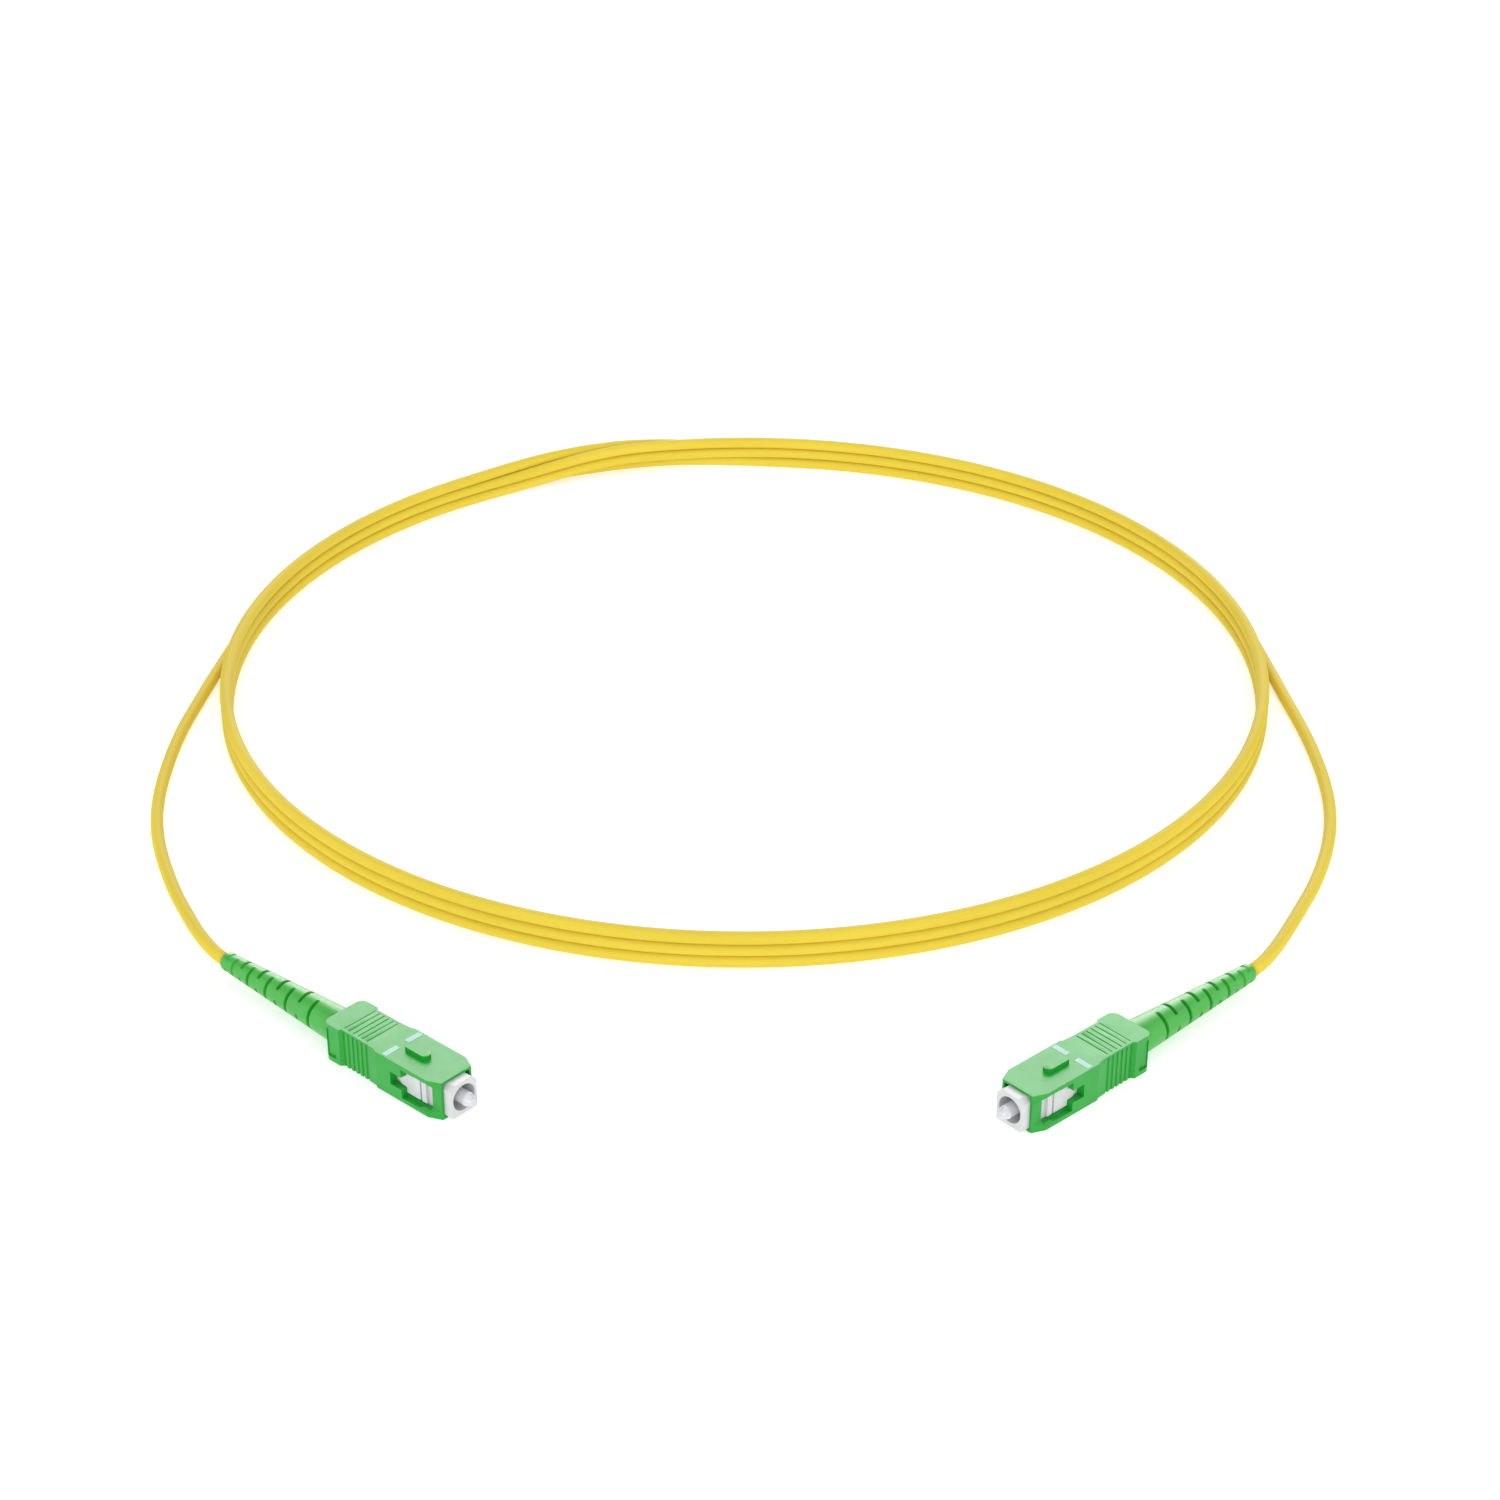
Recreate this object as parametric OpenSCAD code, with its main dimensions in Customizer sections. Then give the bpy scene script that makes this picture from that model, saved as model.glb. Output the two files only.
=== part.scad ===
// Simplex fiber optic patch cord with a push-pull plug at each end.
// +Z is up. The origin is on the resting surface, midway between the two plugs.
// Each plug is drawn along its own axis: +X to its nose, 0 at the grip's front edge.

/* [Layout] */
// Sideways distance of each plug's grip front from the middle
plug_half_gap = 46.1; // [40:0.1:60]
// Left plug's grip front along Y
left_front_y = -16.9; // [-25:0.1:-10]
// Right plug's grip front along Y
right_front_y = -20.5; // [-25:0.1:-10]
// Angle each plug is turned toward the middle
plug_yaw = 42; // [38:0.5:46]

/* [Cord] */
// Jacket diameter
cord_d = 2.4; // [2:0.1:3]
// Radius of the coil's turns, to the jacket's centre
coil_r = 105.6; // [100:0.1:110]
// Turns stacked in the coil
coil_turns = 3; // [3:1:4]
// Coil's centre across
coil_x = 1.2; // [-2:0.1:3]
// Coil's centre along Y
coil_y = 131.7; // [128:0.1:136]

/* [Grip housing] */
// Length of the grip
grip_l = 28; // [26:0.5:29]
// Width of the grip
grip_w = 9; // [8.9:0.1:9.2]
// Height of the grip
grip_h = 7.4; // [7.3:0.1:7.6]
// Grip grooves on each face
groove_count = 6; // [4:1:7]
// Height of the key above the grip's top
key_h = 0.8; // [0.6:0.1:1.2]

/* [Plug frame] */
// Width of the frame
frame_w = 5.8; // [5.6:0.1:6]
// Height of the frame
frame_h = 6.3; // [6.2:0.1:6.5]
// How far the frame stands out of the grip
frame_nose = 1.7; // [1.5:0.1:2.5]
// Bore round the ferrule, for an adapter's sleeve holder
nose_bore_d = 4.8; // [4.7:0.1:4.9]

/* [Ferrule] */
// Ferrule diameter
ferrule_d = 2.5; // [2.4:0.1:2.6]
// Ferrule length
ferrule_l = 10.5; // [10:0.5:12]
// How far the ferrule stands out of the frame
ferrule_reach = 2.2; // [1.5:0.1:2.5]
// Angle of the end face
polish_angle = 8; // [0:1:9]

/* [Boot] */
// Boot diameter at the grip
boot_base_d = 6.5; // [6.2:0.1:6.6]
// Boot diameter at its tip
boot_tip_d = 3.4; // [3.2:0.1:3.8]
// Length of boot that stands out of the grip
boot_l = 31; // [30:0.2:33]
// Slot stations along the boot
slot_stations = 10; // [8:1:10]

/* [Hidden] */

$fn = 64;
eps = 0.01;
big = 20;

grip_green = [0.30, 0.72, 0.34];
white_plastic = [0.93, 0.93, 0.94];
jacket_yellow = [0.93, 0.80, 0.25];
steel_grey = [0.72, 0.73, 0.75];

axis_z = grip_h / 2;
tip_x = -grip_l - boot_l;

// ---- grip housing, from the rear (-X) to the front (0) ----
block_l = 3.9;          // rear block that carries the recesses
waist_rear_x = -23.7;   // the waist starts here, deepest, and grows shallower forward
waist_front_x = -17.3;
waist_end_x = -15.3;
waist_step = 0.4;       // length of the step back out to the full width
waist_rear_in = 0.5;
waist_front_in = 0.45;
waist_end_in = 0.3;
rear_r = 1.3;           // rounding of the rear corners in plan
nose_taper_l = 2.5;     // chamfer of the front corners in plan
nose_half_w = 3.4;      // half width left at the front edge
groove_first_x = -23.2;
groove_pitch = 1.13;
groove_r = 0.27;        // side groove radius
groove_top = 0.3;       // the side grooves stop this far below the top
top_groove_first_x = -23.6;
top_groove_half_w = 3.5;
top_groove_depth = 0.1;
mark_x = -13.55;
mark_l = 1.1;
mark_in = 1;            // inner end of each mark, from the middle
mark_out = 4.15;        // outer end
mark_depth = 0.15;
mark_proud = 0.03;
key_rear_x = -11.3;
key_front_x = -6.4;
key_half_w = 0.95;
recess_x = -27.3;
recess_l = 2.2;
recess_z = 0.9;
recess_depth = 0.35;

// side window and the ramps that spread an adapter's latch arms
window_rear_x = -8.7;
window_front_x = -2.2;
window_half_h = 2.5;
notch_rear_x = -11.4;
notch_half_h = 1.25;
pocket_wall = 0.5;      // bridge wall left between pocket and cavity
pocket_half_h = 2.85;
throat_half_h = 2.05;   // half height between the brims at the front
throat_rear_x = -5;     // the brims swell from here
throat_front_x = -2.4;  // to here
brim_slope_h = 0.9;     // how far each brim falls away toward the outside
brim_slope_x = -5.6;

slide_gap = 0.08;       // grip's cavity round the frame, each side
cavity_rear_x = -17.6;
boot_bore_d = 6.7;

// ---- plug frame ----
frame_rear_x = -16;
frame_top_chamfer = 1;
frame_base_chamfer = 0.3;
seat_front_x = -5.2;    // wall that the ferrule flange rests on
seat_l = 1;
seat_bore_d = 3.3;
rear_bore_d = 4.6;
ledge_out = 0.5;        // how far latch ledges stand out of the frame
ledge_front_x = -3.8;
ledge_l = 1.1;
ledge_half_h = 2.2;
raised_rear_x = -8.55;  // raised block that stops the grip's window going forward
raised_front_x = -5.3;
lug_rear_x = -10.4;     // its lower, rounded rear end lies in the notch
lug_half_h = 1.1;

// ---- ferrule group ----
ferrule_tip_x = frame_nose + ferrule_reach;
ferrule_rear_x = ferrule_tip_x - ferrule_l;
cone_l = 1.1;
cone_tip_d = 1.3;
bond_d = 2.15;          // ground down where the flange is bonded on
fiber_d = 0.125;
fiber_bore_d = 0.127;
buffer_d = 0.9;
buffer_bore_d = 0.95;
buffer_in_ferrule = 1.5;
collar_d = 4.2;
collar_l = 1.7;
collar_front_x = seat_front_x - seat_l;
flange_nose_d = 3.1;
flange_nose_l = 1.6;
spring_post_d = 2.5;
spring_post_l = 2.6;
spring_rear_x = -13;
spring_wire_d = 0.45;
spring_mean_r = 1.75;
spring_turns = 6;
spring_steps = 16;      // rings in a turn
spring_sides = 6;

// ---- rear body, crimp and boot ----
stop_flange_l = 1.4;
stop_flange_w = 5.6;
stop_flange_h = 6.2;
post_d = 3.3;
post_bore_d = 1.8;
post_rear_x = -23.4;
yarn_d = 3.66;
yarn_front_x = -17.7;
sleeve_bore_d = 3.7;
sleeve_d = 4.3;
sleeve_step_x = -24;
sleeve_neck_x = -25.2;
sleeve_rear_x = -29;
neck_d = 3.1;
neck_bore_d = cord_d + 0.04;
boot_front_x = -19.4;
boot_clear = 0.05;
boot_tip_r = 0.75;
slot_w = 0.62;
slot_arc = 130;
slot_turn = 22;         // the slots are not square to the plug
slot_floor = 0.3;       // rubber left over the jacket under each slot
slot_first_x = -34;
slot_pitch = 3.3;
slot_pitch_drop = 0.08; // each pitch is a little shorter than the last
jacket_front_x = -24.6;
jacket_bore_d = 1.2;
core_play = 1.5;        // room behind the buffer for the ferrule's travel
core_wall = 0.3;        // jacket left solid at its rear end

// ---- cord route, hand laid ----
coil_h = coil_turns * cord_d;
tail_ring_r = coil_r + cord_d;   // radius of the strand that lies behind the stack
coil_end_angle = 10;             // where each tail leaves the coil, from the X axis
tube_sides = 8;

left_tip = [-plug_half_gap, left_front_y, axis_z]
  + tip_x * [cos(plug_yaw), -sin(plug_yaw), 0];
right_tip = [plug_half_gap, right_front_y, axis_z]
  + tip_x * [-cos(plug_yaw), -sin(plug_yaw), 0];
coil_left_end = [
  coil_x - tail_ring_r * cos(coil_end_angle),
  coil_y + tail_ring_r * sin(coil_end_angle),
  cord_d / 2
];
coil_right_end = [
  coil_x + tail_ring_r * cos(coil_end_angle),
  coil_y + tail_ring_r * sin(coil_end_angle),
  cord_d / 2
];
left_way = [
  [-91, 23.6, 3.7], [-92.8, 26, 3.6], [-94.9, 29.4, 3.5], [-97.2, 33.9, 3.2],
  [-99.8, 39.8, 2.7], [-102.5, 46.3, 2.1], [-104.9, 52.9, 1.6], [-107.4, 60.4, 1.3],
  [-109.5, 68, 1.2], [-111, 76, 1.2], [-111.8, 84.5, 1.2], [-112, 93, 1.2],
  [-111.8, 101.5, 1.2], [-111.2, 110, 1.2], [-110.1, 118.5, 1.2], [-108.9, 127, 1.2],
  [-107.6, 135.5, 1.2], [-106.2, 144, 1.2]
];
right_way = [
  [91, 20, 3.7], [92.8, 22.4, 3.6], [94.9, 25.8, 3.5], [97.2, 30.3, 3.2],
  [99.9, 36.2, 2.7], [102.7, 42.6, 2.1], [105.5, 49.1, 1.6], [108.3, 56.5, 1.3],
  [110.7, 64.2, 1.2], [112.5, 72, 1.2], [113.6, 80, 1.2], [114, 88, 1.2],
  [113.9, 96, 1.2], [113.4, 104.5, 1.2], [112.5, 113, 1.2], [111.4, 121.5, 1.2],
  [110.4, 130, 1.2], [109.5, 137, 1.2], [108.6, 144, 1.2]
];

// ---- helpers ----
module at_left() {
  translate([-plug_half_gap, left_front_y, 0])
    rotate(-plug_yaw)
      children();
}

module at_right() {
  translate([plug_half_gap, right_front_y, 0])
    rotate(180 + plug_yaw)
      children();
}

// A solid of revolution on the plug's axis; the profile is [distance along X, radius].
module turned(profile) {
  translate([0, 0, axis_z])
    rotate([0, 90, 0])
      rotate_extrude()
        polygon([for (p = profile) [p[1], p[0]]]);
}

// A round rod or bore on the plug's axis, from x0 to x1.
module rod(d, x0, x1) {
  translate([x0, 0, axis_z])
    rotate([0, 90, 0])
      cylinder(d = d, h = x1 - x0);
}

// A block on the plug's axis, from x0 to x1, w wide and h high.
module block(w, h, x0, x1) {
  translate([x0, -w / 2, axis_z - h / 2])
    cube([x1 - x0, w, h]);
}

module both_sides() {
  for (s = [0, 1])
    mirror([0, s, 0])
      children();
}

function unit(v) = v / norm(v);
function tangent(route, i) =
  unit(route[min(i + 1, len(route) - 1)] - route[max(i - 1, 0)]);
function ring(centre, along, r, sides) =
  let (side = unit(cross([0, 0, 1], along)), up = cross(along, side))
    [for (k = [0:sides - 1])
      let (a = (k + 0.5) * 360 / sides)
        centre + r * (cos(a) * side + sin(a) * up)];

// A tube of radius r swept along the route's points.
module swept(route, r, sides) {
  rings = [for (i = [0:len(route) - 1]) each ring(route[i], tangent(route, i), r, sides)];
  last = (len(route) - 1) * sides;
  walls = [
    for (i = [0:len(route) - 2], k = [0:sides - 1])
      let (a = i * sides + k, b = i * sides + (k + 1) % sides)
        [a, a + sides, b + sides, b]
  ];
  front_cap = [for (k = [0:sides - 1]) k];
  rear_cap = [for (k = [sides - 1:-1:0]) last + k];
  polyhedron(points = rings, faces = concat(walls, [front_cap, rear_cap]), convexity = 10);
}

// ---- plug parts ----
function arc(cx, cy, r, a0, a1, steps) =
  [for (i = [0:steps]) let (a = a0 + (a1 - a0) * i / steps) [cx + r * cos(a), cy + r * sin(a)]];

// Half of the grip's outline in plan, from the rear to the front.
function grip_side() =
  let (hw = grip_w / 2, block_x = block_l - grip_l)
    concat(
      arc(rear_r - grip_l, hw - rear_r, rear_r, 180, 90, 8),
      [
        [block_x, hw],
        [waist_rear_x, hw - waist_rear_in],
        [waist_front_x, hw - waist_front_in],
        [waist_end_x, hw - waist_end_in],
        [waist_end_x + waist_step, hw],
        [-nose_taper_l, hw],
        [0, nose_half_w]
      ]
    );

module grip_outline() {
  side = grip_side();
  polygon(concat(side, [for (i = [len(side) - 1:-1:0]) [side[i][0], -side[i][1]]]));
}

// Half height of the pocket at x: the brims swell smoothly toward the front.
function pocket_half(x) =
  let (t = min(max((x - throat_rear_x) / (throat_front_x - throat_rear_x), 0), 1))
    pocket_half_h + (throat_half_h - pocket_half_h) * (1 - cos(180 * t)) / 2;

module side_pocket_shape() {
  steps = 8;
  xs = [
    window_rear_x,
    for (i = [0:steps]) throat_rear_x + (throat_front_x - throat_rear_x) * i / steps,
    1
  ];
  polygon(concat(
    [for (x = xs) [x, pocket_half(x)]],
    [for (i = [len(xs) - 1:-1:0]) [xs[i], -pocket_half(xs[i])]]
  ));
}

// The brims' edges fall away outward, to spread the latch arms.
module brim_slopes() {
  wall_y = frame_w / 2 + slide_gap + pocket_wall;
  for (s = [0, 1])
    translate([brim_slope_x, 0, axis_z])
      mirror([0, 0, s])
        rotate([90, 0, 90])
          linear_extrude(height = 1 - brim_slope_x)
            polygon([
              [wall_y, throat_half_h - eps],
              [grip_w / 2 + eps, throat_half_h - eps],
              [grip_w / 2 + eps, throat_half_h + brim_slope_h]
            ]);
}

module side_window() {
  wall_y = frame_w / 2 + slide_gap + pocket_wall;
  // pocket, open at the front, that guides a latch arm
  translate([0, wall_y + big, axis_z])
    rotate([90, 0, 0])
      linear_extrude(height = big)
        side_pocket_shape();
  brim_slopes();
  // window through to the frame, with the lug's notch behind it
  translate([window_rear_x, 0, axis_z - window_half_h])
    cube([window_front_x - window_rear_x, big, 2 * window_half_h]);
  translate([notch_rear_x, 0, axis_z - notch_half_h])
    cube([window_rear_x - notch_rear_x + eps, big, 2 * notch_half_h]);
}

// Half width of the waist at x, where the side grooves are.
function waist_half_w(x) =
  grip_w / 2 - waist_rear_in
    + (waist_rear_in - waist_front_in) * (x - waist_rear_x) / (waist_front_x - waist_rear_x);

module side_grooves() {
  for (i = [0:groove_count - 1])
    let (x = groove_first_x + i * groove_pitch)
      translate([x, waist_half_w(x), -1])
        cylinder(r = groove_r, h = grip_h + 1 - groove_top, $fn = 24);
}

module top_grooves() {
  for (i = [0:groove_count - 1])
    translate([top_groove_first_x + i * groove_pitch, 0, grip_h])
      rotate([0, 45, 0])
        cube([2 * top_groove_depth, 2 * top_groove_half_w, 2 * top_groove_depth], center = true);
}

module marks_shape(depth, proud) {
  both_sides()
    translate([mark_x, mark_in, grip_h - depth])
      cube([mark_l, mark_out - mark_in, depth + proud]);
}

module key() {
  translate([key_rear_x, -key_half_w, grip_h - eps])
    cube([key_front_x - key_rear_x - key_half_w, 2 * key_half_w, key_h + eps]);
  translate([key_front_x - key_half_w, 0, grip_h - eps])
    cylinder(r = key_half_w, h = key_h + eps);
}

module grip_housing() color(grip_green) difference() {
  union() {
    linear_extrude(height = grip_h)
      grip_outline();
    key();
  }
  // cavity for the plug frame, and the round bore for the boot behind it
  block(frame_w + 2 * slide_gap, frame_h + 2 * slide_gap, cavity_rear_x, 1);
  rod(boot_bore_d, -grip_l - 1, cavity_rear_x + eps);
  both_sides()
    side_window();
  both_sides()
    side_grooves();
  top_grooves();
  marks_shape(mark_depth, 1);
  both_sides()
    translate([recess_x, grip_w / 2 - recess_depth, recess_z])
      cube([recess_l, 1, grip_h - 2 * recess_z]);
}

module seating_marks() color(white_plastic)
  marks_shape(mark_depth, mark_proud);

module frame_block() {
  half_w = frame_w / 2;
  half_h = frame_h / 2;
  top_c = frame_top_chamfer;
  base_c = frame_base_chamfer;
  translate([frame_rear_x, 0, axis_z])
    rotate([90, 0, 90])
      linear_extrude(height = frame_nose - frame_rear_x)
        polygon([
          [base_c - half_w, -half_h], [half_w - base_c, -half_h],
          [half_w, base_c - half_h], [half_w, half_h - top_c],
          [half_w - top_c, half_h], [top_c - half_w, half_h],
          [-half_w, half_h - top_c], [-half_w, base_c - half_h]
        ]);
}

module plug_frame() color(white_plastic) difference() {
  union() {
    frame_block();
    block(frame_w + 2 * ledge_out, 2 * ledge_half_h, ledge_front_x - ledge_l, ledge_front_x);
    block(frame_w + 2 * ledge_out, 2 * ledge_half_h, raised_rear_x, raised_front_x);
    block(frame_w + 2 * ledge_out, 2 * lug_half_h, lug_rear_x + lug_half_h, raised_rear_x + eps);
    translate([lug_rear_x + lug_half_h, 0, axis_z])
      rotate([90, 0, 0])
        cylinder(r = lug_half_h, h = frame_w + 2 * ledge_out, center = true);
  }
  rod(nose_bore_d, seat_front_x, frame_nose + 1);
  rod(seat_bore_d, seat_front_x - seat_l - eps, seat_front_x + eps);
  rod(rear_bore_d, frame_rear_x - 1, seat_front_x - seat_l);
}

module ferrule() color(white_plastic) difference() {
  bond_x = collar_front_x + flange_nose_l + 0.1;
  turned([
    [ferrule_rear_x, 0], [ferrule_rear_x, bond_d / 2],
    [bond_x, bond_d / 2], [bond_x, ferrule_d / 2],
    [ferrule_tip_x - cone_l, ferrule_d / 2], [ferrule_tip_x, cone_tip_d / 2],
    [ferrule_tip_x, 0]
  ]);
  rod(fiber_bore_d, ferrule_rear_x - 1, ferrule_tip_x + 1);
  rod(buffer_bore_d, ferrule_rear_x - 1, ferrule_rear_x + buffer_in_ferrule);
  // angled end face
  translate([ferrule_tip_x, 0, axis_z])
    rotate([0, -polish_angle, 0])
      translate([0, -ferrule_d, -ferrule_d])
        cube([ferrule_d, 2 * ferrule_d, 2 * ferrule_d]);
}

module glass_fiber() color("white")
  rod(fiber_d, tip_x + core_play, ferrule_tip_x - 0.1);

module tight_buffer() color("white") difference() {
  rod(buffer_d, tip_x + core_play, ferrule_rear_x + buffer_in_ferrule - 0.05);
  rod(fiber_bore_d, tip_x, ferrule_tip_x);
}

module ferrule_flange() color(steel_grey) difference() {
  union() {
    rod(flange_nose_d, collar_front_x - eps, collar_front_x + flange_nose_l);
    rod(collar_d, collar_front_x - collar_l, collar_front_x);
    rod(spring_post_d, collar_front_x - collar_l - spring_post_l, collar_front_x - collar_l + eps);
  }
  rod(bond_d, ferrule_rear_x, ferrule_tip_x);
  rod(buffer_bore_d, collar_front_x - collar_l - spring_post_l - 1, ferrule_rear_x + eps);
}

module ferrule_spring() color(steel_grey) {
  wire_r = spring_wire_d / 2;
  front_x = collar_front_x - collar_l - wire_r;
  pitch = (front_x - spring_rear_x - wire_r) / spring_turns;
  count = spring_turns * spring_steps;
  rings = [
    for (i = [0:count], k = [0:spring_sides - 1])
      let (
        turn = i * 360 / spring_steps,
        a = k * 360 / spring_sides,
        r = spring_mean_r + wire_r * cos(a)
      )
        [front_x - pitch * i / spring_steps + wire_r * sin(a),
         r * cos(turn), axis_z + r * sin(turn)]
  ];
  walls = [
    for (i = [0:count - 1], k = [0:spring_sides - 1])
      let (a = i * spring_sides + k, b = i * spring_sides + (k + 1) % spring_sides)
        [a, b, b + spring_sides, a + spring_sides]
  ];
  caps = [
    [for (k = [spring_sides - 1:-1:0]) k],
    [for (k = [0:spring_sides - 1]) count * spring_sides + k]
  ];
  polyhedron(points = rings, faces = concat(walls, caps), convexity = 20);
}

module stop_body() color(steel_grey) difference() {
  union() {
    rod(rear_bore_d, frame_rear_x, spring_rear_x);
    block(stop_flange_w, stop_flange_h, frame_rear_x - stop_flange_l, frame_rear_x);
    rod(post_d, post_rear_x, frame_rear_x - stop_flange_l + eps);
  }
  rod(post_bore_d, post_rear_x - 1, spring_rear_x + 1);
}

module aramid_yarn() color(jacket_yellow) difference() {
  rod(yarn_d, post_rear_x, yarn_front_x);
  rod(post_d, post_rear_x - 1, yarn_front_x + 1);
}

module crimp_sleeve() color(steel_grey)
  turned([
    [yarn_front_x, sleeve_bore_d / 2], [yarn_front_x, sleeve_d / 2],
    [sleeve_step_x, sleeve_d / 2], [sleeve_neck_x, neck_d / 2],
    [sleeve_rear_x, neck_d / 2], [sleeve_rear_x, neck_bore_d / 2],
    [sleeve_neck_x, neck_bore_d / 2], [sleeve_step_x, sleeve_bore_d / 2]
  ]);

function slot_x(i) = slot_first_x - slot_pitch * i + slot_pitch_drop * i * i;

// One pair of opposite slots; every second pair is turned a quarter.
module slot_pair(i, hand) {
  floor_r = cord_d / 2 + boot_clear + slot_floor;
  for (s = [0, 180])
    translate([slot_x(i) - slot_w / 2, 0, axis_z])
      rotate([hand * slot_turn + 90 * (i % 2) + s - slot_arc / 2, 0, 0])
        rotate([90, 0, 90])
          rotate_extrude(angle = slot_arc)
            translate([floor_r, 0])
              square([boot_base_d, slot_w]);
}

module boot(hand) color(grip_green) difference() {
  turned(concat(
    [
      [boot_front_x, 0], [boot_front_x, boot_base_d / 2], [-grip_l, boot_base_d / 2]
    ],
    arc(tip_x + boot_tip_r, boot_tip_d / 2 - boot_tip_r, boot_tip_r, 90, 180, 6),
    [[tip_x, 0]]
  ));
  rod(sleeve_d + 2 * boot_clear, sleeve_step_x, boot_front_x + 1);
  turned([
    [sleeve_step_x + eps, 0], [sleeve_step_x + eps, sleeve_d / 2 + boot_clear],
    [sleeve_neck_x, neck_d / 2 + boot_clear], [sleeve_rear_x - 0.2, neck_d / 2 + boot_clear],
    [sleeve_rear_x - 0.2, 0]
  ]);
  rod(cord_d + 2 * boot_clear, tip_x - 1, sleeve_rear_x);
  for (i = [0:slot_stations - 1])
    slot_pair(i, hand);
}

module jacket_end() color(jacket_yellow) difference() {
  rod(cord_d, tip_x, jacket_front_x);
  rod(jacket_bore_d, tip_x + core_wall, jacket_front_x + 1);
}

// ---- cord ----
module left_tail() color(jacket_yellow)
  swept(concat([left_tip], left_way, [coil_left_end]), cord_d / 2, tube_sides);

module right_tail() color(jacket_yellow)
  swept(concat([right_tip], right_way, [coil_right_end]), cord_d / 2, tube_sides);

module coil() color(jacket_yellow) translate([coil_x, coil_y, 0]) {
  // stacked turns, with round edges
  rotate_extrude($fn = 96) {
    for (z = [cord_d / 2, coil_h - cord_d / 2])
      translate([coil_r, z])
        circle(d = cord_d, $fn = 32);
    translate([coil_r - cord_d / 2, cord_d / 2])
      square([cord_d, coil_h - cord_d]);
  }
  // the strand that crosses behind the stack to the right tail
  rotate(coil_end_angle)
    rotate_extrude(angle = 180 - 2 * coil_end_angle, $fn = 96) {
      translate([tail_ring_r, cord_d / 2])
        circle(d = cord_d, $fn = 32);
      translate([coil_r + cord_d / 4, cord_d / 4])
        square([cord_d, cord_d / 2]);
    }
}

at_left() grip_housing();  // left_grip_housing
at_left() seating_marks();  // left_seating_marks
at_left() plug_frame();  // left_plug_frame
at_left() ferrule();  // left_ferrule
at_left() glass_fiber();  // left_glass_fiber
at_left() tight_buffer();  // left_tight_buffer
at_left() ferrule_flange();  // left_ferrule_flange
at_left() ferrule_spring();  // left_ferrule_spring
at_left() stop_body();  // left_stop_body
at_left() aramid_yarn();  // left_aramid_yarn
at_left() crimp_sleeve();  // left_crimp_sleeve
at_left() boot(-1);  // left_boot
at_left() jacket_end();  // left_jacket_end
at_right() grip_housing();  // right_grip_housing
at_right() seating_marks();  // right_seating_marks
at_right() plug_frame();  // right_plug_frame
at_right() ferrule();  // right_ferrule
at_right() glass_fiber();  // right_glass_fiber
at_right() tight_buffer();  // right_tight_buffer
at_right() ferrule_flange();  // right_ferrule_flange
at_right() ferrule_spring();  // right_ferrule_spring
at_right() stop_body();  // right_stop_body
at_right() aramid_yarn();  // right_aramid_yarn
at_right() crimp_sleeve();  // right_crimp_sleeve
at_right() boot(1);  // right_boot
at_right() jacket_end();  // right_jacket_end
left_tail();
coil();
right_tail();
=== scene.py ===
"""Fiber optic patch cord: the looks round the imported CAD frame. Lengths are in metres."""
import math

import bmesh
import bpy
from mathutils import Matrix, Vector


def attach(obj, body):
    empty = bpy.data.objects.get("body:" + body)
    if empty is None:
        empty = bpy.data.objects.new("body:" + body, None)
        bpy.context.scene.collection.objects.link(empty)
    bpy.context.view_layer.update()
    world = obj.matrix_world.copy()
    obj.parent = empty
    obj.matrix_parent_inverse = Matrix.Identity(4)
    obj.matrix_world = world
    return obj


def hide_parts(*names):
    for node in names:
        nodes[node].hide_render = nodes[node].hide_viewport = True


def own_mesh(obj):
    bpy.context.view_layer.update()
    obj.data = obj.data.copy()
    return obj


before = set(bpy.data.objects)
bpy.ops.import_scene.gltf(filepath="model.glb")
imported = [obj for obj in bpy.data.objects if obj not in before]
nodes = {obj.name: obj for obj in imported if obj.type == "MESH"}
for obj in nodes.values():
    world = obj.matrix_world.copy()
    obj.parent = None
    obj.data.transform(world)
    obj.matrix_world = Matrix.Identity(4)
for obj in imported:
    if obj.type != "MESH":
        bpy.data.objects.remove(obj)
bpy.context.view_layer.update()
scene = bpy.context.scene
MM = 0.001

# ---------------------------------------------------------------- camera
VIEW_TARGET = Vector((0.0023, 0.1032, 0.0))
VIEW_DISTANCE = 0.6292
VIEW_PITCH = math.radians(29.9)
LENS = 76.0

camera = bpy.data.objects.new("camera", bpy.data.cameras.new("camera"))
scene.collection.objects.link(camera)
camera.data.lens = LENS
camera.data.sensor_width = 36.0
camera.data.clip_start = 0.05
camera.data.clip_end = 20.0
camera.location = VIEW_TARGET + VIEW_DISTANCE * Vector((0, -math.cos(VIEW_PITCH), math.sin(VIEW_PITCH)))
camera.rotation_euler = (math.pi / 2 - VIEW_PITCH, 0, 0)
scene.camera = camera

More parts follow.
